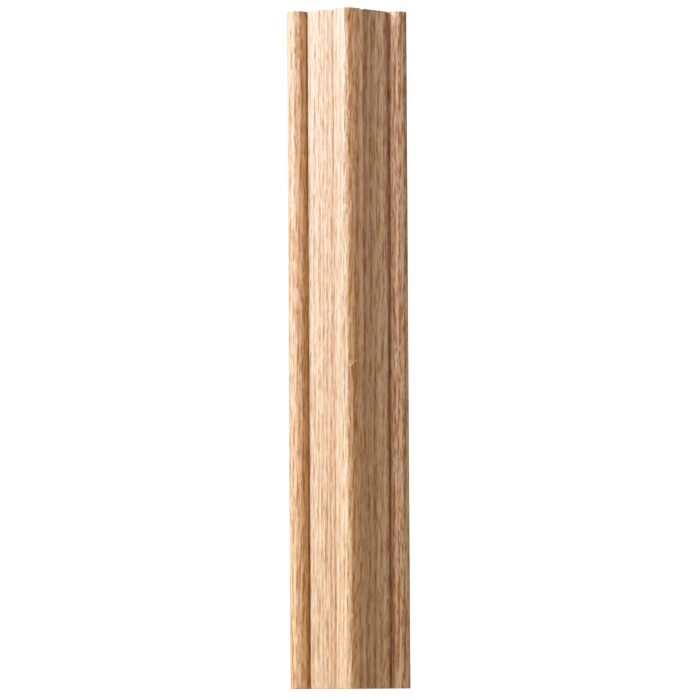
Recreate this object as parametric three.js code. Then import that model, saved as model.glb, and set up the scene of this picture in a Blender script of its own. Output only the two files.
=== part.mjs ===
// Half column: a straight oak moulding with a flat back, to be fixed against a wall, a post or a cabinet.
// Its front rises to a rounded arris between two flanks at 45 degrees. On each flank a fine V line parts the
// nose from a flat strip, and a quirk parts the strip from a round bead along the outer edge.
// Millimetres. The foot stands on z = 0, the arris faces -Y, the flat back faces +Y, and the piece is
// centred on X and Y. A profile point is (u, d): u sideways from the middle, d back from the arris.
import * as THREE from "three";

// Overall size
const WIDTH = 76.2;
const DEPTH = 38.1;
const LENGTH = 431.8;

// Nose: two flanks at 45 degrees that meet in a rounded arris
const ARRIS_RADIUS = 5;
const NOSE_HALF_WIDTH = 8.6;

// Fine V line between nose and strip, measured along and into the flank
const LINE_WIDTH = 1.4;
const LINE_DEPTH = 0.45;

// Strip: its outer edge, and the rounding of that edge
const STRIP_EDGE = 25.2;
const STRIP_EDGE_RADIUS = 2.2;

// Bead along the outer edge, and the narrow quirk beside it
const BEAD_RADIUS = 6.35;
const BEAD_FRONT = 21.3;
const QUIRK_BOTTOM = 25.9;

// Facets on each round stretch
const ARRIS_FACETS = 12;
const STRIP_EDGE_FACETS = 5;
const BEAD_FACETS = 20;

// Oak, planed and left bare
const OAK = { color: 0xd3b18f, roughness: 0.72, metalness: 0 };

const FLANK_ANGLE = Math.PI / 4;
const alongFlank = new THREE.Vector2(Math.cos(FLANK_ANGLE), Math.sin(FLANK_ANGLE));
const intoFlank = new THREE.Vector2(-Math.sin(FLANK_ANGLE), Math.cos(FLANK_ANGLE));
const flankSetback = ARRIS_RADIUS * (Math.SQRT2 - 1);

// Point on the 45 degree flank at a distance u from the middle
function onFlank(u) {
  return new THREE.Vector2(u, u - flankSetback);
}

// Points of an arc about a centre, from one angle up to another
function arc(centre, radius, from, to, facets) {
  return new THREE.EllipseCurve(centre.x, centre.y, radius, radius, from, to).getPoints(facets);
}

// The right half of the section, from the arris round to the back corner
function halfProfile() {
  const arrisCentre = new THREE.Vector2(0, ARRIS_RADIUS);
  const arris = arc(arrisCentre, ARRIS_RADIUS, -Math.PI / 2, -FLANK_ANGLE, ARRIS_FACETS / 2);

  const lineStart = onFlank(NOSE_HALF_WIDTH);
  const lineEnd = lineStart.clone().addScaledVector(alongFlank, LINE_WIDTH);
  const lineBottom = lineStart.clone().lerp(lineEnd, 0.5).addScaledVector(intoFlank, LINE_DEPTH);

  const edgeCentre = onFlank(STRIP_EDGE - STRIP_EDGE_RADIUS);
  edgeCentre.y += STRIP_EDGE_RADIUS * Math.SQRT2;
  const stripEdge = arc(edgeCentre, STRIP_EDGE_RADIUS, -FLANK_ANGLE, 0, STRIP_EDGE_FACETS);
  const quirkCorner = new THREE.Vector2(STRIP_EDGE, QUIRK_BOTTOM);

  const beadCentre = new THREE.Vector2(WIDTH / 2 - BEAD_RADIUS, BEAD_FRONT + BEAD_RADIUS);
  const beadStart = Math.asin((beadCentre.y - QUIRK_BOTTOM) / BEAD_RADIUS) - Math.PI;
  const bead = arc(beadCentre, BEAD_RADIUS, beadStart, 0, BEAD_FACETS);
  const backCorner = new THREE.Vector2(WIDTH / 2, DEPTH);

  return [...arris, lineStart, lineBottom, lineEnd, ...stripEdge, quirkCorner, ...bead, backCorner];
}

// The whole section: the right half and its mirror image, with the arris facing -Y
function columnSection() {
  const right = halfProfile().map((point) => new THREE.Vector2(point.x, point.y - DEPTH / 2));
  const left = right
    .slice(1)
    .reverse()
    .map((point) => new THREE.Vector2(-point.x, point.y));
  return new THREE.Shape([...right, ...left]);
}

const column = new THREE.Group();
const moulding = new THREE.ExtrudeGeometry(columnSection(), { depth: LENGTH, bevelEnabled: false });
const halfColumn = new THREE.Mesh(moulding, new THREE.MeshStandardMaterial(OAK));
halfColumn.name = "half_column";
column.add(halfColumn);

export default column;
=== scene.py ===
import math

import bpy
import numpy as np
from mathutils import Matrix, Vector
from mathutils.geometry import delaunay_2d_cdt


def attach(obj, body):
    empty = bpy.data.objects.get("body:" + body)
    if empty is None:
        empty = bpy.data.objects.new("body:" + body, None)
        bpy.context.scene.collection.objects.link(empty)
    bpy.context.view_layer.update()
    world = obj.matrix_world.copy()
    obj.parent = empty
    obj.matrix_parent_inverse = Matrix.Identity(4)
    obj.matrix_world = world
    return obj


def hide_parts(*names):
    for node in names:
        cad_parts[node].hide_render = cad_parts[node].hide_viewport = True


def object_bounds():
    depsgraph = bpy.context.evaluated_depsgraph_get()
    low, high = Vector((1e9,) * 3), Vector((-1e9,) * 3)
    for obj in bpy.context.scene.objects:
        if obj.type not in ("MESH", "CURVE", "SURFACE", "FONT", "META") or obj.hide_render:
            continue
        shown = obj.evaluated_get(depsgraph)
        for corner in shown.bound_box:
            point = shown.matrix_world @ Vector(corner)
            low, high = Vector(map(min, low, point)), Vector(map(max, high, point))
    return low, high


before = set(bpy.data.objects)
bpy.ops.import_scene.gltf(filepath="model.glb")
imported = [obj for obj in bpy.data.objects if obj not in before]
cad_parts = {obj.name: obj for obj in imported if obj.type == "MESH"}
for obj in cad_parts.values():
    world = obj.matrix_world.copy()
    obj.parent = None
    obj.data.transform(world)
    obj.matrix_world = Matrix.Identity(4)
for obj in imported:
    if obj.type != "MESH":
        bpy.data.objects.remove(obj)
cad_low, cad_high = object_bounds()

# The moulded length
# One straight length of red oak, run through a moulder in one pass and then sawn square at both ends. The
# front is a nose with a rounded arris, a fine V line and a flat strip on each flank, and a bead behind a
# quirk along each edge. The back is planed flat, and the wood is left bare.
MM = 0.001
WIDTH = cad_high.x - cad_low.x
DEPTH = cad_high.y - cad_low.y
LENGTH = cad_high.z - cad_low.z
FLANK = math.pi / 4
ARRIS_RADIUS = 5 * MM
NOSE_HALF_WIDTH = 8.6 * MM
LINE_WIDTH = 1.4 * MM
LINE_DEPTH = 0.45 * MM
STRIP_EDGE = 25.2 * MM
STRIP_EDGE_RADIUS = 2.2 * MM
BEAD_RADIUS = 6.35 * MM
BEAD_FRONT = 21.3 * MM
QUIRK_BOTTOM = 25.9 * MM
BACK_EASE = 0.6 * MM

# Steps of the mesh round half of the section, and its rows along the length, which are closer at the ends
ARRIS_STEPS = 24
NOSE_STEPS = 22
LINE_STEPS = 3
STRIP_STEPS = 44
STRIP_EDGE_STEPS = 8
QUIRK_WALL_STEPS = 4
QUIRK_FLOOR_STEPS = 2
BEAD_STEPS = 40
SIDE_STEPS = 6
BACK_EASE_STEPS = 3
BACK_STEPS = 13
END_ROWS = np.array([0, 0.2, 0.6, 1.2, 2]) * MM
MIDDLE_ROWS = 272


def straight(start, end, count):
    """Straight stretch: start + t (end - start) in equal steps of t, the end left out."""
    t = np.arange(count)[:, None] / count
    return np.asarray(start) + t * (np.asarray(end) - np.asarray(start))


def arc(centre, radius, start, end, count):
    """Round stretch: centre + radius (cos a, sin a) in equal steps of a, the end left out."""
    a = start + (end - start) * np.arange(count) / count
    return np.asarray(centre) + radius * np.stack([np.cos(a), np.sin(a)], axis=1)


def column_outline():
    """Closed section (x, y), counter-clockwise from the arris: arcs and straight stretches of the right
    half as (sideways, back from the arris), then their mirror image, moved so that y is centred."""
    setback = ARRIS_RADIUS * (math.sqrt(2) - 1)
    along = np.array([math.cos(FLANK), math.sin(FLANK)])
    into = np.array([-math.sin(FLANK), math.cos(FLANK)])
    arris_centre = np.array([0, ARRIS_RADIUS])
    flank_start = arris_centre - ARRIS_RADIUS * into
    line_start = np.array([NOSE_HALF_WIDTH, NOSE_HALF_WIDTH - setback])
    line_end = line_start + LINE_WIDTH * along
    line_bottom = (line_start + line_end) / 2 + LINE_DEPTH * into
    edge_side = STRIP_EDGE - STRIP_EDGE_RADIUS
    edge_centre = np.array([edge_side, edge_side - setback + STRIP_EDGE_RADIUS * math.sqrt(2)])
    edge_start = edge_centre - STRIP_EDGE_RADIUS * into
    quirk_top = np.array([STRIP_EDGE, edge_centre[1]])
    quirk_corner = np.array([STRIP_EDGE, QUIRK_BOTTOM])
    bead_centre = np.array([WIDTH / 2 - BEAD_RADIUS, BEAD_FRONT + BEAD_RADIUS])
    bead_angle = math.asin((bead_centre[1] - QUIRK_BOTTOM) / BEAD_RADIUS) - math.pi
    bead_start = bead_centre + BEAD_RADIUS * np.array([math.cos(bead_angle), math.sin(bead_angle)])
    bead_side = np.array([WIDTH / 2, bead_centre[1]])
    back_centre = np.array([WIDTH / 2 - BACK_EASE, DEPTH - BACK_EASE])
    back_side = back_centre + (BACK_EASE, 0)
    back_edge = back_centre + (0, BACK_EASE)
    back_middle = np.array([0, DEPTH])
    right = np.concatenate([
        arc(arris_centre, ARRIS_RADIUS, -math.pi / 2, -FLANK, ARRIS_STEPS),
        straight(flank_start, line_start, NOSE_STEPS),
        straight(line_start, line_bottom, LINE_STEPS),
        straight(line_bottom, line_end, LINE_STEPS),
        straight(line_end, edge_start, STRIP_STEPS),
        arc(edge_centre, STRIP_EDGE_RADIUS, -FLANK, 0, STRIP_EDGE_STEPS),
        straight(quirk_top, quirk_corner, QUIRK_WALL_STEPS),
        straight(quirk_corner, bead_start, QUIRK_FLOOR_STEPS),
        arc(bead_centre, BEAD_RADIUS, bead_angle, 0, BEAD_STEPS),
        straight(bead_side, back_side, SIDE_STEPS),
        arc(back_centre, BACK_EASE, 0, math.pi / 2, BACK_EASE_STEPS),
        straight(back_edge, back_middle, BACK_STEPS),
        [back_middle],
    ])
    left = right[-2:0:-1] * (-1, 1)
    return np.concatenate([right, left]) - (0, DEPTH / 2)


def outward(outline):
    """Unit normals of a closed outline: the line from neighbour to neighbour, turned a quarter out."""
    tangent = np.roll(outline, -1, axis=0) - np.roll(outline, 1, axis=0)
    normal = np.stack([tangent[:, 1], -tangent[:, 0]], axis=1)
    return normal / np.linalg.norm(normal, axis=1, keepdims=True)


def girth(outline):
    """Distance of each outline point from the arris along the section, positive to the right."""
    step = np.linalg.norm(np.roll(outline, -1, axis=0) - outline, axis=1)
    distance = np.cumsum(step) - step
    return np.where(distance < step.sum() / 2 + MM, distance, distance - step.sum())


def column_rows():
    """Heights of the rows: equal steps along the length between the closer rows of the two sawn ends."""
    middle = np.linspace(END_ROWS[-1], LENGTH - END_ROWS[-1], MIDDLE_ROWS + 2)[1:-1]
    return np.concatenate([END_ROWS, middle, LENGTH - END_ROWS[::-1]])


def lumpy(across, along, across_step, along_step):
    """Heights from -1 to 1: random ones on a lattice with the two steps, eased from each to the next by
    the smooth step f f (3 - 2 f)."""
    a = (across - across.min()) / across_step
    b = (along - along.min()) / along_step
    i = np.floor(a).astype(int)
    j = np.floor(b).astype(int)
    ease_a, ease_b = [f * f * (3 - 2 * f) for f in (a - i, b - j)]
    lattice = chance.uniform(-1, 1, (i.max() + 2, j.max() + 2))
    near = lattice[i, j] * (1 - ease_a) + lattice[i + 1, j] * ease_a
    far = lattice[i, j + 1] * (1 - ease_a) + lattice[i + 1, j + 1] * ease_a
    return near * (1 - ease_b) + far * ease_b


def bell(distance, reach):
    """Smooth hump: e to the power of -(distance / reach) squared."""
    return np.exp(-(distance / reach) ** 2)


def tube_mesh(name, rings, end_points, end_faces):
    """Closed outline carried along a path: rings[row, point], numbered row by row and joined by smooth
    quads. Further points come after them, and flat faces close the two ends."""
    rows, count = rings.shape[:2]
    here = np.arange(rows - 1)[:, None] * count + np.arange(count)
    beside = np.arange(rows - 1)[:, None] * count + (np.arange(count) + 1) % count
    sides = np.stack([here, beside, beside + count, here + count], axis=-1).reshape(-1, 4)
    points = np.concatenate([rings.reshape(-1, 3), *end_points])
    mesh = bpy.data.meshes.new(name)
    mesh.from_pydata(points.tolist(), [], sides.tolist() + end_faces)
    mesh.polygons.foreach_set("use_smooth", np.arange(len(mesh.polygons)) < len(sides))
    return mesh


# Wear, all of it inwards: the arris is rubbed unevenly, one chip is out of it near the top, the sawn ends
# are eased and frayed, and small breaks open the top end at the two V lines
CHANCE_SEED = 7
ARRIS_WEAR = 0.22 * MM
ARRIS_REACH = 4.5 * MM
ARRIS_LEVEL = 0.75
WEAR_LUMPS = (2.2 * MM, 11 * MM)
WEAR_FINE_LUMPS = (1.1 * MM, 4.5 * MM)
WEAR_FINE_SHARE = 0.4
CHIP_SIDE = 0.9 * MM
CHIP_HEIGHT = LENGTH - 7 * MM
CHIP_REACH = (1.3 * MM, 2.6 * MM)
CHIP_DEPTH = 0.5 * MM
END_EASE = 0.16 * MM
END_FRAY = 0.22 * MM
END_REACH = 3 * MM
HEAD_FRAY_STEP = 0.9 * MM
FOOT_FRAY_STEP = 1.3 * MM
LEFT_NOTCH = 0.85 * MM
LEFT_NOTCH_REACH = (0.6 * MM, 6 * MM)
RIGHT_NOTCH = 0.8 * MM
RIGHT_NOTCH_REACH = 1.1 * MM
TOP_OUT_OF_SQUARE = 0.25 * MM
chance = np.random.default_rng(CHANCE_SEED)
outline = column_outline()
across = girth(outline)[None, :]
along = column_rows()[:, None]
uneven = (1 - WEAR_FINE_SHARE) * lumpy(across, along, *WEAR_LUMPS)
uneven = uneven + WEAR_FINE_SHARE * lumpy(across, along, *WEAR_FINE_LUMPS)
wear = ARRIS_WEAR * np.maximum(ARRIS_LEVEL + uneven, 0) * bell(across, ARRIS_REACH)
chip_across = (across - CHIP_SIDE) / CHIP_REACH[0]
chip_along = (along - CHIP_HEIGHT) / CHIP_REACH[1]
chip = bell(np.hypot(chip_across, chip_along), 1)
inset = wear + CHIP_DEPTH * chip
inset[[0, -1]] += END_EASE
fray = 0.5 + 0.5 * lumpy(across, along[:1], HEAD_FRAY_STEP, MM)
line_side = NOSE_HALF_WIDTH + LINE_WIDTH * math.cos(FLANK) / 2
from_line = np.where(outline[:, 1] > 0, WIDTH, np.abs(outline[:, 0] - line_side))
past_line = np.abs(across) - across[0, np.argmin(from_line)]
left_notch = LEFT_NOTCH * bell(past_line, np.where(past_line < 0, *LEFT_NOTCH_REACH))
right_notch = RIGHT_NOTCH * bell(past_line, RIGHT_NOTCH_REACH)
notch = np.where(across < 0, left_notch, right_notch)
slant = TOP_OUT_OF_SQUARE * (outline[:, 0] / WIDTH + 0.5)
ragged = END_FRAY * fray + notch
drop = slant + ragged
near_top = np.clip(1 - (LENGTH - along) / END_REACH, 0, 1) ** 2
near_foot = np.clip(1 - along / END_REACH, 0, 1) ** 2
lift = END_FRAY * np.maximum(lumpy(across, along[:1], FOOT_FRAY_STEP, MM), 0)
section = outline - inset[..., None] * outward(outline)
rings = np.concatenate([section, (along - drop * near_top + lift * near_foot)[..., None]], axis=-1)

# The two sawn ends: triangles between the edge and rows of points behind its front, where the breaks
# run out
BREAK_RUN = 5 * MM
BREAK_ROWS = np.array([0.8, 2, 4, 7]) * MM
BREAK_CLEAR = 0.5 * MM
INSIDE_RIM = 1
MERGE_DISTANCE = 1e-7
side = np.abs(outline[:, 0])
near_wall = (np.abs(side - STRIP_EDGE) < BREAK_CLEAR) | (side > WIDTH / 2 - BREAK_CLEAR)
before_bead_middle = outline[:, 1] < BEAD_FRONT + BEAD_RADIUS - DEPTH / 2
front_edge = np.flatnonzero(before_bead_middle & ~near_wall)[::2]
behind_edge = (section[-1, front_edge] + BREAK_ROWS[:, None, None] * (0, 1)).reshape(-1, 2)
run_out = bell(BREAK_ROWS, BREAK_RUN)[:, None]
head_height = LENGTH - slant[front_edge] - run_out * ragged[0, front_edge]
foot_height = run_out * lift[0, front_edge]
count = len(outline)
rim = np.arange(count)
rim_links = np.stack([rim, np.roll(rim, -1)], axis=1).tolist()
end_plan = np.concatenate([section[-1], behind_edge]).tolist()
end_triangles = np.array(delaunay_2d_cdt(end_plan, rim_links, [], INSIDE_RIM, MERGE_DISTANCE)[2])
on_rim = end_triangles < count
off_rim = end_triangles - count
foot_start = len(along) * count
head_start = foot_start + len(behind_edge)
head_rim = foot_start - count
foot_faces = np.where(on_rim, end_triangles, foot_start + off_rim)
head_faces = np.where(on_rim, head_rim + end_triangles, head_start + off_rim)
foot_points = np.column_stack([behind_edge, foot_height.ravel()])
head_points = np.column_stack([behind_edge, head_height.ravel()])
end_faces = foot_faces[:, ::-1].tolist() + head_faces.tolist()
column_mesh = tube_mesh("half_column_oak", rings, [foot_points, head_points], end_faces)

# Shares of the marks that the oak's colour reads, none of them on the ends: the darker band along the
# arris, which is fainter towards the foot and is partly rubbed wear and partly painted shade where the
# arris turns from the lit side into shade, the dim seam to the right of it, and the chip
RUB_SHADE_SIDE = 0.9 * MM
RUB_SHADE_REACH = 2.5 * MM
RUB_SHADE_EDGE = 0.4 * MM
RUB_SHADE_WOBBLE = 0.65 * MM
RUB_SHADE_SIDE_STEP = 6 * MM
RUB_SHADE_REACH_STEP = 8 * MM
RUB_SHADE_AT_FOOT = 0.5
RUB_SHADE_FULL_HEIGHT = 190 * MM
RUB_SHADE_UNEVEN = 0.25
SEAM_SIDE = 6.7 * MM
SEAM_REACH = 2.0 * MM
SEAM_STEP = 16 * MM
SEAM_LEVEL = 0.75
SEAM_UNEVEN = 0.5
# Painted shade as well as wear: the band darkens where the rounded arris turns from the lit side into
# shade
rub_shade_middle = RUB_SHADE_SIDE + RUB_SHADE_WOBBLE * lumpy(0 * across, along, MM, RUB_SHADE_SIDE_STEP)
rub_shade_reach = RUB_SHADE_REACH + RUB_SHADE_WOBBLE * lumpy(0 * across, along, MM, RUB_SHADE_REACH_STEP)
rub_and_shade = np.clip((rub_shade_reach - np.abs(across - rub_shade_middle)) / RUB_SHADE_EDGE + 0.5, 0, 1)
rub_and_shade = rub_and_shade * (RUB_SHADE_AT_FOOT + (1 - RUB_SHADE_AT_FOOT) * np.clip(along / RUB_SHADE_FULL_HEIGHT, 0, 1))
rub_and_shade = rub_and_shade * (1 - RUB_SHADE_UNEVEN + RUB_SHADE_UNEVEN * uneven)
seam_strength = np.clip(SEAM_LEVEL + SEAM_UNEVEN * lumpy(0 * across, along, MM, SEAM_STEP), 0, 1)
seam = seam_strength * bell(across - SEAM_SIDE, SEAM_REACH)
for name, share in (("rubbed_and_shade", rub_and_shade), ("seam", seam), ("bruise", chip)):
    values = np.concatenate([share.ravel(), np.zeros(2 * len(behind_edge))]).astype("f4")
    column_mesh.attributes.new(name, "FLOAT", "POINT").data.foreach_set("value", values)
column = bpy.data.objects.new("half_column_oak", column_mesh)
bpy.context.scene.collection.objects.link(column)


class Shade:
    """A shader value: it wraps a node's output, and an expression on values adds its Math nodes."""

    def __init__(self, socket):
        self.socket = socket

    def node(self, kind, settings, sockets, output=0):
        """Adds a node to the same tree: its settings first, then the values or links of its sockets."""
        tree = self.socket.id_data
        made = tree.nodes.new(kind)
        for name, setting in settings.items():
            setattr(made, name, setting)
        for key, value in sockets.items():
            if isinstance(value, Shade):
                tree.links.new(value.socket, made.inputs[key])
            else:
                made.inputs[key].default_value = value
        return Shade(made.outputs[output])

    def beside(self, output):
        """Another output of the same node."""
        return Shade(self.socket.node.outputs[output])

    def feed(self, shader, name):
        """Links the value to a socket of a shader."""
        self.socket.id_data.links.new(self.socket, shader.inputs[name])

    def maths(self, operation, *values):
        """A Math node on this value and any others."""
        return self.node("ShaderNodeMath", {"operation": operation}, dict(enumerate((self, *values))))

    def __add__(self, other):
        return self.maths("ADD", other)

    def __sub__(self, other):
        return self.maths("SUBTRACT", other)

    def __rsub__(self, other):
        return self.node("ShaderNodeMath", {"operation": "SUBTRACT"}, {0: other, 1: self})

    def __mul__(self, other):
        return self.maths("MULTIPLY", other)

    def __truediv__(self, other):
        return self.maths("DIVIDE", other)

    __radd__ = __add__
    __rmul__ = __mul__


def rise(value, low, high):
    """Smooth step from 0 at low to 1 at high."""
    settings = {"interpolation_type": "SMOOTHSTEP"}
    sockets = {"Value": value, "From Min": low, "From Max": high, "To Min": 0.0, "To Max": 1.0}
    return value.node("ShaderNodeMapRange", settings, sockets)


def between(value, start, end):
    """Smooth hump: up over the range of the start, and down again over the range of the end."""
    return rise(value, *start) * (1 - rise(value, *end))


def stretched(place, spacing, seed):
    """A place with each direction divided by its own spacing, moved on by the seed times a fixed step."""
    seed_step = (17.3, 5.1, 11.7)
    scale = tuple(1 / length for length in spacing)
    start = tuple(step * seed for step in seed_step)
    settings = {"operation": "MULTIPLY_ADD"}
    return place.node("ShaderNodeVectorMath", settings, {0: place, 1: scale, 2: start})


def lumps(place, spacing, seed, detail=1.0, roughness=0.5):
    """Smooth noise about 0, with lumps as long as the spacing in each direction."""
    spot = stretched(place, spacing, seed)
    sockets = {"Vector": spot, "Scale": 1.0, "Detail": detail, "Roughness": roughness}
    return spot.node("ShaderNodeTexNoise", {"noise_dimensions": "3D"}, sockets) - 0.5


def seeds(place, spacing, seed):
    """Distance, in cells of the spacing, from the nearest of points scattered one to a cell."""
    spot = stretched(place, spacing, seed)
    sockets = {"Vector": spot, "Scale": 1.0, "Randomness": 1.0}
    return spot.node("ShaderNodeTexVoronoi", {"feature": "F1"}, sockets)


def blended(share, colour, other, blend="MIX"):
    """A colour mixed with another one by a share from 0 to 1. The names of a Mix node's sockets repeat,
    so its factor, two colours and result go by number."""
    settings = {"data_type": "RGBA", "blend_type": blend, "clamp_factor": True}
    return share.node("ShaderNodeMix", settings, {0: share, 6: colour, 7: other}, 2)


def washed(share, colour, tint):
    """A colour times a tint where the share is 1, and as it is where the share is 0."""
    return blended(share, colour, tint, "MULTIPLY")


def tinted(colour, tint):
    """A colour times a tint all over."""
    return colour.node("ShaderNodeVectorMath", {"operation": "MULTIPLY"}, {0: colour, 1: tint})


# Oak: a colour is the share of light that it gives back, and a tint multiplies it. Places are in
# millimetres, and so is a spacing, which is two lengths across the grain and one along it: out from the
# pith and around it where the grain is read, and sideways and back where the place is.
oak = bpy.data.materials.new("bare_oak")
oak.use_nodes = True
oak_shader = oak.node_tree.nodes["Principled BSDF"]
place = Shade(oak.node_tree.nodes.new("ShaderNodeTexCoord").outputs["Object"])
facing = place.beside("Normal")
place = place.node("ShaderNodeVectorMath", {"operation": "SCALE"}, {0: place, "Scale": 1 / MM})
x = place.node("ShaderNodeSeparateXYZ", {}, {0: place})
y = x.beside("Y")
z = x.beside("Z")

# Growth rings about a pith that lies beside the piece, a little off the run of its length. A year starts
# with early wood, which is full of pores, and its whole dark part is the ring.
PITH_SIDE = -150
PITH_BACK = 32
PITH_RUN_SIDE = 0.008
PITH_RUN_BACK = -0.004
WANDER = 1.5
WANDER_SPACING = (18, 18, 110)
RING_WIDTH = 3.3
RING_DRIFT_SPACING = (5, 20, 75)
EARLY_START = (0, 0.12)
EARLY_END = (0.26, 0.6)
RING_START = (0, 0.22)
RING_END = (0.44, 0.84)
wander = lumps(place, WANDER_SPACING, seed=1)
out_x = x - PITH_SIDE - PITH_RUN_SIDE * z
out_y = y - PITH_BACK - PITH_RUN_BACK * z
out = (out_x * out_x + out_y * out_y).maths("SQRT") + WANDER * wander
around = out_y.maths("ARCTAN2", out_x) * abs(PITH_SIDE)
grain = out.node("ShaderNodeCombineXYZ", {}, {0: out, 1: around, 2: z})
year = (out / RING_WIDTH + lumps(grain, RING_DRIFT_SPACING, seed=2)).maths("FRACT")
early = between(year, EARLY_START, EARLY_END)
ring = between(year, RING_START, RING_END)

# How lively the grain is: even on the back, calmest on the left side of the nose, and livelier outwards,
# to the right, on the arris and most of all on the beads
RIGHT_RANGE = (-1, 1)
ARRIS_RANGE = (3.5, 5.5)
OUTER_RANGE = (8.9, 9.3)
BEAD_RANGE = (25, 26)
BACK_RANGE = (6.5, 11)
BACK_LIFE = 0.66
NOSE_LIFE = 0.42
OUTER_LIFE = 0.18
RIGHT_LIFE = 0.24
RIGHT_OUTER_LIFE = -0.06
ARRIS_LIFE = 0.32
BEAD_LIFE = 0.3
RIGHT_BEAD_LIFE = 0.24
aside = x.maths("ABSOLUTE")
fore = 1 - rise(y, *BACK_RANGE)
right = rise(x, *RIGHT_RANGE)
bead = rise(aside, *BEAD_RANGE)
arris = 1 - rise(aside, *ARRIS_RANGE)
outer = rise(aside, *OUTER_RANGE)
right_life = RIGHT_LIFE + RIGHT_OUTER_LIFE * outer
bead_life = BEAD_LIFE + RIGHT_BEAD_LIFE * right
front_life = NOSE_LIFE + OUTER_LIFE * outer + right * right_life + bead * bead_life + ARRIS_LIFE * arris
lively = BACK_LIFE + fore * (front_life - BACK_LIFE)

# Tan in the cream: ring lines and streaks that come and go along the grain, fibres, specks and patches
CREAM = (0.77, 0.525, 0.36, 1)
LEFT_TAN = (0.36, 0.18, 0.064, 1)
LEFT_BEAD_TAN = (0.42, 0.185, 0.062, 1)
RIGHT_TAN = (0.42, 0.185, 0.075, 1)
TAN_SHARE = 0.39
RING_SPELL_SPACING = (2.6, 2.6, 12)
RING_SPELL_RANGE = (-0.12, 0.12)
RING_WEIGHT = 1.15
RING_MEAN = 0.53
STREAK_SPACING = (1.3, 1.3, 22)
SPELL_SPACING = (2.2, 2.2, 9)
SPELL_RANGE = (-0.15, 0.15)
SPELL_LEAST = 0.4
SPELL_MORE = 1.2
STREAK_WEIGHT = 1.8
STREAK_BEAD_WEIGHT = 0.8
FIBRE_SPACING = (0.95, 0.95, 9)
FIBRE_WEIGHT = 2.2
SPECK_SPACING = (0.8, 0.8, 2.2)
SPECK_WEIGHT = 0.95
BEAD_SMOOTHNESS = 0.3
BROAD_SPACING = (9, 9, 60)
BROAD_WEIGHT = 0.3
ring_spell = rise(lumps(grain, RING_SPELL_SPACING, seed=14), *RING_SPELL_RANGE)
ring_lines = RING_WEIGHT * (ring - RING_MEAN) * ring_spell
spell = rise(lumps(grain, SPELL_SPACING, seed=12), *SPELL_RANGE)
spell_strength = SPELL_LEAST + SPELL_MORE * spell
streak = lumps(grain, STREAK_SPACING, seed=3, detail=2, roughness=0.6) * spell_strength
streaks = (STREAK_WEIGHT + STREAK_BEAD_WEIGHT * bead) * streak
fibre = lumps(grain, FIBRE_SPACING, seed=4, roughness=0.6)
speck = lumps(grain, SPECK_SPACING, seed=13)
fine = (FIBRE_WEIGHT * fibre + SPECK_WEIGHT * speck) * (1 - BEAD_SMOOTHNESS * bead)
broad = lumps(place, BROAD_SPACING, seed=5)
tan_share = TAN_SHARE + lively * (streaks + fine + ring_lines + BROAD_WEIGHT * broad)
tan = blended(right, blended(bead, LEFT_TAN, LEFT_BEAD_TAN), RIGHT_TAN)
colour = blended(tan_share, CREAM, tan)

# Thin pale streaks, changes of hue from line to line, and a slow change from foot to head
PALE = (0.87, 0.69, 0.54, 1)
PALE_SPACING = (0.9, 0.9, 20)
PALE_RANGE = (0.1, 0.24)
PALE_SHARE = 0.6
GOLD_TINT = (1.04, 1.0, 0.84, 1)
ROSE_TINT = (0.98, 1.0, 1.16, 1)
HUE_SPACING = (1.8, 1.8, 9)
HUE_STRENGTH = 2
LEFT_FOOT_TINT = (1.02, 1.0, 0.92, 1)
LEFT_HEAD_TINT = (0.98, 0.98, 1.04, 1)
RIGHT_FOOT_TINT = (0.98, 0.955, 0.885, 1)
RIGHT_HEAD_TINT = (1.0, 1.01, 1.06, 1)
pale = rise(lumps(grain, PALE_SPACING, seed=8, detail=2), *PALE_RANGE)
colour = blended(PALE_SHARE * pale, colour, PALE)
hue = lumps(grain, HUE_SPACING, seed=10)
colour = tinted(colour, blended(0.5 + HUE_STRENGTH * hue, GOLD_TINT, ROSE_TINT))
foot_tint = blended(right, LEFT_FOOT_TINT, RIGHT_FOOT_TINT)
head_tint = blended(right, LEFT_HEAD_TINT, RIGHT_HEAD_TINT)
colour = tinted(colour, blended(rise(z, 0, LENGTH / MM), foot_tint, head_tint))

# At the front only, the nose: its left side is deeper in the upper half, short of the top, and its right
# side is paler towards the top
LEFT_NOSE_TINT = (1.0, 1.0, 1.03, 1)
LEFT_NOSE_DEEP_TINT = (0.91, 0.9, 0.92, 1)
DEEP_START = (130, 240)
DEEP_END = (360, 410)
RIGHT_NOSE_TINT = (1.14, 1.15, 1.17, 1)
RIGHT_NOSE_HEIGHT = (270, 420)
FRONT_END = (4, 9)
behind = y + DEPTH / 2 / MM - aside
front = 1 - rise(behind, *FRONT_END)
nose = (1 - outer) * front
left_nose_tint = blended(between(z, DEEP_START, DEEP_END), LEFT_NOSE_TINT, LEFT_NOSE_DEEP_TINT)
colour = washed(nose * (1 - right), colour, left_nose_tint)
colour = washed(nose * right * rise(z, *RIGHT_NOSE_HEIGHT), colour, RIGHT_NOSE_TINT)

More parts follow.
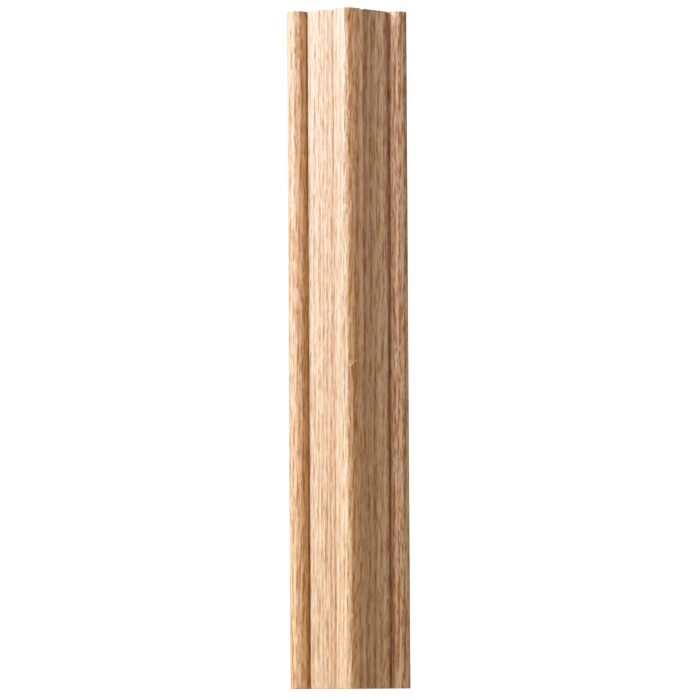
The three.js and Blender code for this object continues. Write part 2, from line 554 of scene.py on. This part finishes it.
# The strips are dark in and beside the V line and paler towards their outer edge, most of all on the
# right
LEFT_INNER_TINT = (0.81, 0.745, 0.72, 1)
LEFT_OUTER_TINT = (0.93, 0.95, 1.01, 1)
LEFT_FADE = (11, 24)
RIGHT_INNER_TINT = (0.8, 0.81, 0.84, 1)
RIGHT_OUTER_TINT = (1.06, 1.15, 1.29, 1)
RIGHT_FADE = (15, 24)
RIGHT_STEP = (16.6, 17.6)
RIGHT_STEP_SHARE = 0.35
STRIP_END = (24.7, 25.5)
LINE_TINT = (0.8, 0.77, 0.74, 1)
LINE_START = (8.9, 9.5)
LINE_END = (9.8, 11.5)
LEFT_LINE_SHARE = 0.4
strip = outer * (1 - rise(aside, *STRIP_END)) * front
left_tint = blended(rise(aside, *LEFT_FADE), LEFT_INNER_TINT, LEFT_OUTER_TINT)
right_fade = RIGHT_STEP_SHARE * rise(x, *RIGHT_STEP) + (1 - RIGHT_STEP_SHARE) * rise(x, *RIGHT_FADE)
right_tint = blended(right_fade, RIGHT_INNER_TINT, RIGHT_OUTER_TINT)
colour = washed(strip, colour, blended(right, left_tint, right_tint))
line_share = LEFT_LINE_SHARE + (1 - LEFT_LINE_SHARE) * right
colour = washed(between(aside, LINE_START, LINE_END) * line_share * front, colour, LINE_TINT)

# Each bead has its own tone. Painted shade darkens each quirk with the edges beside it, and the outer
# side of the right bead, which turns away from the light
LEFT_BEAD_TINT = (0.94, 0.89, 0.84, 1)
RIGHT_BEAD_TINT = (0.98, 1.0, 1.07, 1)
BEAD_TINT_RANGE = (25.8, 26.6)
BEAD_FRONT_END = (9, 13)
BEAD_SIDE_SHADE_TINT = (0.9, 0.9, 0.9, 1)
BEAD_SIDE_RANGE = (32.5, 35)
LEFT_QUIRK_SHADE_TINT = (0.86, 0.87, 0.69, 1)
LEFT_QUIRK_START = (25.8, 26.8)
LEFT_QUIRK_END = (27, 30.5)
RIGHT_QUIRK_SHADE_TINT = (0.78, 0.8, 0.82, 1)
RIGHT_QUIRK_START = (23.2, 24.8)
RIGHT_QUIRK_END = (26.4, 28.6)
bead_front = 1 - rise(y, *BEAD_FRONT_END)
bead_tint = blended(right, LEFT_BEAD_TINT, RIGHT_BEAD_TINT)
colour = washed(rise(aside, *BEAD_TINT_RANGE) * bead_front, colour, bead_tint)
# Painted shade on the outer side of the right bead
colour = washed(rise(x, *BEAD_SIDE_RANGE) * bead_front, colour, BEAD_SIDE_SHADE_TINT)
# Painted shade in the quirk on each side
left_quirk_shade = between(-1 * x, LEFT_QUIRK_START, LEFT_QUIRK_END) * bead_front
colour = washed(left_quirk_shade, colour, LEFT_QUIRK_SHADE_TINT)
right_quirk_shade = between(x, RIGHT_QUIRK_START, RIGHT_QUIRK_END) * bead_front
colour = washed(right_quirk_shade, colour, RIGHT_QUIRK_SHADE_TINT)

# Rays: thin upright plates that stand across the rings and show as dark ticks, in patches
RAY_BROWN = (0.31, 0.14, 0.05, 1)
RAY_SPACING = (2.2, 1.2, 8)
RAY_EDGE = (0.16, 0.32)
RAY_CHANCE = (0.3, 0.9)
RAY_SHARE = 0.75
FLECK_SPACING = (14, 14, 50)
FLECK_RANGE = (-0.02, 0.1)
FLECK_LEAST = 0.4
plate = seeds(grain, RAY_SPACING, seed=6)
plate_colour = plate.beside("Color")
plate_chance = plate_colour.node("ShaderNodeSeparateColor", {}, {0: plate_colour})
fleck = FLECK_LEAST + (1 - FLECK_LEAST) * rise(lumps(grain, FLECK_SPACING, seed=9), *FLECK_RANGE)
ray = (1 - rise(plate, *RAY_EDGE)) * rise(plate_chance, *RAY_CHANCE) * fleck
colour = blended(RAY_SHARE * ray * lively, colour, RAY_BROWN)

# Vessels: fine open lines along the grain, close together in each year's early wood
PORE_BROWN = (0.2, 0.08, 0.026, 1)
VESSEL_SPACING = (1.0, 1.0, 8)
PORE_EDGE = (0.18, 0.34)
PORE_LEAST = 0.35
PORE_SHARE = 0.6
vessel = seeds(grain, VESSEL_SPACING, seed=7)
pore = (1 - rise(vessel, *PORE_EDGE)) * (PORE_LEAST + (1 - PORE_LEAST) * early) * lively
colour = blended(PORE_SHARE * pore, colour, PORE_BROWN)

# The band along the arris is darker, partly rubbed wear and partly painted shade, with a dim seam beside
# it, the chip is bruised, a lifted splinter shows fresh pale wood, and the sawn ends show darker end
# grain
RUBBED_AND_SHADE_TINT = (0.87, 0.78, 0.63, 1)
SEAM_TINT = (0.82, 0.8, 0.77, 1)
BRUISE_TINT = (0.62, 0.45, 0.33, 1)
FRESH = (0.86, 0.62, 0.41, 1)
END_TINT = (0.78, 0.7, 0.62, 1)
END_RANGE = (0.6, 0.95)
# The band along the arris is partly rubbed wear and partly painted shade
for mark, tint in (("rubbed_and_shade", RUBBED_AND_SHADE_TINT), ("seam", SEAM_TINT), ("bruise", BRUISE_TINT)):
    share = place.node("ShaderNodeAttribute", {"attribute_name": mark}, {}, "Fac")
    colour = washed(share, colour, tint)
raised_share = place.node("ShaderNodeAttribute", {"attribute_name": "raised"}, {}, "Fac")
colour = blended(raised_share, colour, FRESH)
upright = facing.node("ShaderNodeSeparateXYZ", {}, {0: facing}, "Z").maths("ABSOLUTE")
end_grain = rise(upright, *END_RANGE)
colour = washed(end_grain, colour, END_TINT)

# The surface is matt, with fibres that stand up a little, and pores and rays that are sunk
RELIEF = 0.04 * MM
FIBRE_RELIEF = 0.6
RAY_RELIEF = 0.3
ROUGHNESS = 0.54
PORE_ROUGHNESS = 0.2
STREAK_ROUGHNESS = 0.1
END_ROUGHNESS = 0.3
height = FIBRE_RELIEF * fibre - pore - RAY_RELIEF * ray
relief = height.node("ShaderNodeBump", {}, {"Height": height, "Strength": 1.0, "Distance": RELIEF})
roughness = ROUGHNESS + PORE_ROUGHNESS * pore + STREAK_ROUGHNESS * streak + END_ROUGHNESS * end_grain
colour.feed(oak_shader, "Base Color")
roughness.feed(oak_shader, "Roughness")
relief.feed(oak_shader, "Normal")
column_mesh.materials.append(oak)
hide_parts("half_column")
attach(column, "root")

# The splinters
# Three slivers of the same oak that handling has lifted off the arris at half height. Each is still
# rooted in the wood at its lower end, and its free end stands off the right flank.
SPLINTER_STARTS = np.array([[-0.15, -18.8, 203.7], [-1.6, -18.5, 203.3], [-0.9, -18.8, 206.2]]) * MM
SPLINTER_BENDS = np.array([[2.0, -19.0, 205.6], [0.2, -19.0, 205.2], [0.4, -19.0, 206.8]]) * MM
SPLINTER_TIPS = np.array([[4.85, -17.9, 207.8], [2.2, -18.9, 207.3], [2.0, -18.9, 207.3]]) * MM
SPLINTER_WIDTHS = np.array([0.6, 0.42, 0.4]) * MM
SPLINTER_FLATNESS = 0.6
SPLINTER_TAPER = 0.9
SPLINTER_ROWS = 16
SPLINTER_SIDES = 8


def splinter_rings(start, bend, tip, width):
    """Flat oval carried along the curve (1 - t)^2 start + 2 t (1 - t) bend + t^2 tip, and drawn in
    towards a fine point as 1 - taper t^2."""
    t = np.linspace(0, 1, SPLINTER_ROWS)[:, None]
    path = (1 - t) ** 2 * start + 2 * t * (1 - t) * bend + t ** 2 * tip
    ahead = (1 - t) * (bend - start) + t * (tip - bend)
    ahead = ahead / np.linalg.norm(ahead, axis=1, keepdims=True)
    wide = np.cross(ahead, (0, -1, 0))
    wide = wide / np.linalg.norm(wide, axis=1, keepdims=True)
    thick = SPLINTER_FLATNESS * np.cross(ahead, wide)
    a = np.linspace(0, 2 * math.pi, SPLINTER_SIDES, endpoint=False)[:, None]
    oval = np.cos(a) * wide[:, None] + np.sin(a) * thick[:, None]
    half_width = width / 2 * (1 - SPLINTER_TAPER * t ** 2)
    return path[:, None] + half_width[:, None] * oval


splinter_root = np.arange(SPLINTER_SIDES)
splinter_tip = splinter_root + (SPLINTER_ROWS - 1) * SPLINTER_SIDES
splinter_ends = [splinter_root[::-1].tolist(), splinter_tip.tolist()]
splinters = zip(SPLINTER_STARTS, SPLINTER_BENDS, SPLINTER_TIPS, SPLINTER_WIDTHS)
for number, (start, bend, tip, width) in enumerate(splinters, 1):
    rings = splinter_rings(start, bend, tip, width)
    splinter_mesh = tube_mesh(f"arris_splinter_{number}", rings, [], splinter_ends)
    raised = np.ones(len(splinter_mesh.vertices), "f4")
    splinter_mesh.attributes.new("raised", "FLOAT", "POINT").data.foreach_set("value", raised)
    splinter_mesh.materials.append(oak)
    splinter = bpy.data.objects.new(f"arris_splinter_{number}", splinter_mesh)
    bpy.context.scene.collection.objects.link(splinter)
    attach(splinter, "root")

# The floor
# A plain pale sheet that the piece stands on, large enough to reach past every view. It glows a little,
# so that it shows white, and it throws no light back on the wood.
FLOOR_RADIUS = 2.5
FLOOR_SIDES = 96
FLOOR_WHITE = (0.8, 0.8, 0.8, 1)
FLOOR_ROUGHNESS = 0.9
FLOOR_GLOW = 1.6
floor_angle = np.linspace(0, 2 * math.pi, FLOOR_SIDES, endpoint=False)
floor_rim = FLOOR_RADIUS * np.stack([np.cos(floor_angle), np.sin(floor_angle), 0 * floor_angle], axis=1)
floor_mesh = bpy.data.meshes.new("floor")
floor_mesh.from_pydata(floor_rim.tolist(), [], [list(range(FLOOR_SIDES))])
floor = bpy.data.objects.new("floor", floor_mesh)
bpy.context.scene.collection.objects.link(floor)
floor_paint = bpy.data.materials.new("pale_floor")
floor_paint.use_nodes = True
floor_shader = floor_paint.node_tree.nodes["Principled BSDF"]
floor_shader.inputs["Base Color"].default_value = FLOOR_WHITE
floor_shader.inputs["Roughness"].default_value = FLOOR_ROUGHNESS
floor_shader.inputs["Specular IOR Level"].default_value = 0
floor_shader.inputs["Emission Color"].default_value = FLOOR_WHITE
floor_shader.inputs["Emission Strength"].default_value = FLOOR_GLOW
floor_mesh.materials.append(floor_paint)
floor.visible_diffuse = False
floor.visible_glossy = False

# The light
# Soft studio light: a large key well to the left and above, a weak warm fill in front, and two lights
# behind for the back.
KEY_COLOUR = (0.79, 0.89, 1.0)
FILL_COLOUR = (1.0, 0.88, 0.665)


def soft_light(name, azimuth, elevation, distance, size, power, colour):
    """Square area light aimed at the piece's middle, at an angle round it, 0 in front, + to the right."""
    a = math.radians(azimuth)
    e = math.radians(elevation)
    back = Vector((math.sin(a) * math.cos(e), -math.cos(a) * math.cos(e), math.sin(e)))
    light = bpy.data.lights.new(name, "AREA")
    light.size = size
    light.energy = power
    light.color = colour
    lamp = bpy.data.objects.new(name, light)
    lamp.location = Vector((0, 0, LENGTH / 2)) + distance * back
    lamp.rotation_mode = "QUATERNION"
    lamp.rotation_quaternion = (-back).to_track_quat("-Z", "Y")
    bpy.context.scene.collection.objects.link(lamp)


soft_light("key", azimuth=-68, elevation=32, distance=1.6, size=1.1, power=54, colour=KEY_COLOUR)
soft_light("front_fill", azimuth=0, elevation=35, distance=1.8, size=1.2, power=8.8, colour=FILL_COLOUR)
soft_light("behind_right", azimuth=160, elevation=35, distance=2, size=1.2, power=26, colour=KEY_COLOUR)
soft_light("behind_left", azimuth=-165, elevation=35, distance=2, size=1.2, power=14, colour=FILL_COLOUR)

# The backdrop shows white to the camera, and gives the piece only a dim warm light
WHITE = (1, 1, 1, 1)
WHITE_LIGHT = 1.3
AMBIENT = 0.41
world = bpy.data.worlds.new("studio")
world.use_nodes = True
bpy.context.scene.world = world
backdrop = world.node_tree.nodes["Background"]
seen = Shade(world.node_tree.nodes.new("ShaderNodeLightPath").outputs["Is Camera Ray"])
blended(seen, (*FILL_COLOUR, 1), WHITE).feed(backdrop, "Color")
(AMBIENT + (WHITE_LIGHT - AMBIENT) * seen).feed(backdrop, "Strength")

# The picture's tone, as on film: straight up to a shoulder, and from there 1 - (1 - t) squared into white
SHOULDER = 0.7
SHOULDER_STEPS = 8
ALL_CHANNELS = 3
look = bpy.context.scene.view_settings
look.view_transform = "Standard"
look.use_curve_mapping = True
look.curve_mapping.clip_max_x = WHITE_LIGHT
tone_curve = look.curve_mapping.curves[ALL_CHANNELS]
tone_curve.points[1].location = (WHITE_LIGHT, 1)
for t in np.arange(SHOULDER_STEPS) / SHOULDER_STEPS:
    tone_curve.points.new(SHOULDER + (WHITE_LIGHT - SHOULDER) * t, 1 - (1 - SHOULDER) * (1 - t) ** 2)
look.curve_mapping.update()

# The camera
# A long lens close to the floor, a little left of the middle, tipped up so that the piece fills the
# height of the picture.
IMAGE_PIXELS = 700
SENSOR = 36
FOCAL_PIXELS = 5600
PIXEL_SIZE = 0.6352 * MM
EYE_HEIGHT = 2 * MM
EYE_AZIMUTH = math.radians(-1.3)
AIM_COLUMN = 348.7
FOOT_ROW = 689.2
ROLL = math.radians(0.32)
camera_data = bpy.data.cameras.new("camera")
camera_data.sensor_width = SENSOR
camera_data.lens = SENSOR * FOCAL_PIXELS / IMAGE_PIXELS
camera_data.clip_start = 0.1
camera_data.clip_end = 50
camera = bpy.data.objects.new("camera", camera_data)
bpy.context.scene.collection.objects.link(camera)
bpy.context.scene.camera = camera
forward = Vector((-math.sin(EYE_AZIMUTH), math.cos(EYE_AZIMUTH), 0))
sideways = Vector((math.cos(EYE_AZIMUTH), math.sin(EYE_AZIMUTH), 0))
upward = Vector((0, 0, 1))
eye_distance = FOCAL_PIXELS * PIXEL_SIZE
bead_middle = Vector((0, BEAD_FRONT + BEAD_RADIUS - DEPTH / 2, EYE_HEIGHT))
aim_side = (IMAGE_PIXELS / 2 - AIM_COLUMN) / FOCAL_PIXELS
aim_up = (FOOT_ROW - IMAGE_PIXELS / 2) / FOCAL_PIXELS - EYE_HEIGHT / eye_distance
gaze = forward + aim_side * sideways + aim_up * upward
level = gaze.to_track_quat("-Z", "Y").to_matrix()
camera.location = bead_middle - eye_distance * forward
camera.rotation_mode = "QUATERNION"
camera.rotation_quaternion = (level @ Matrix.Rotation(-ROLL, 3, "Z")).to_quaternion()
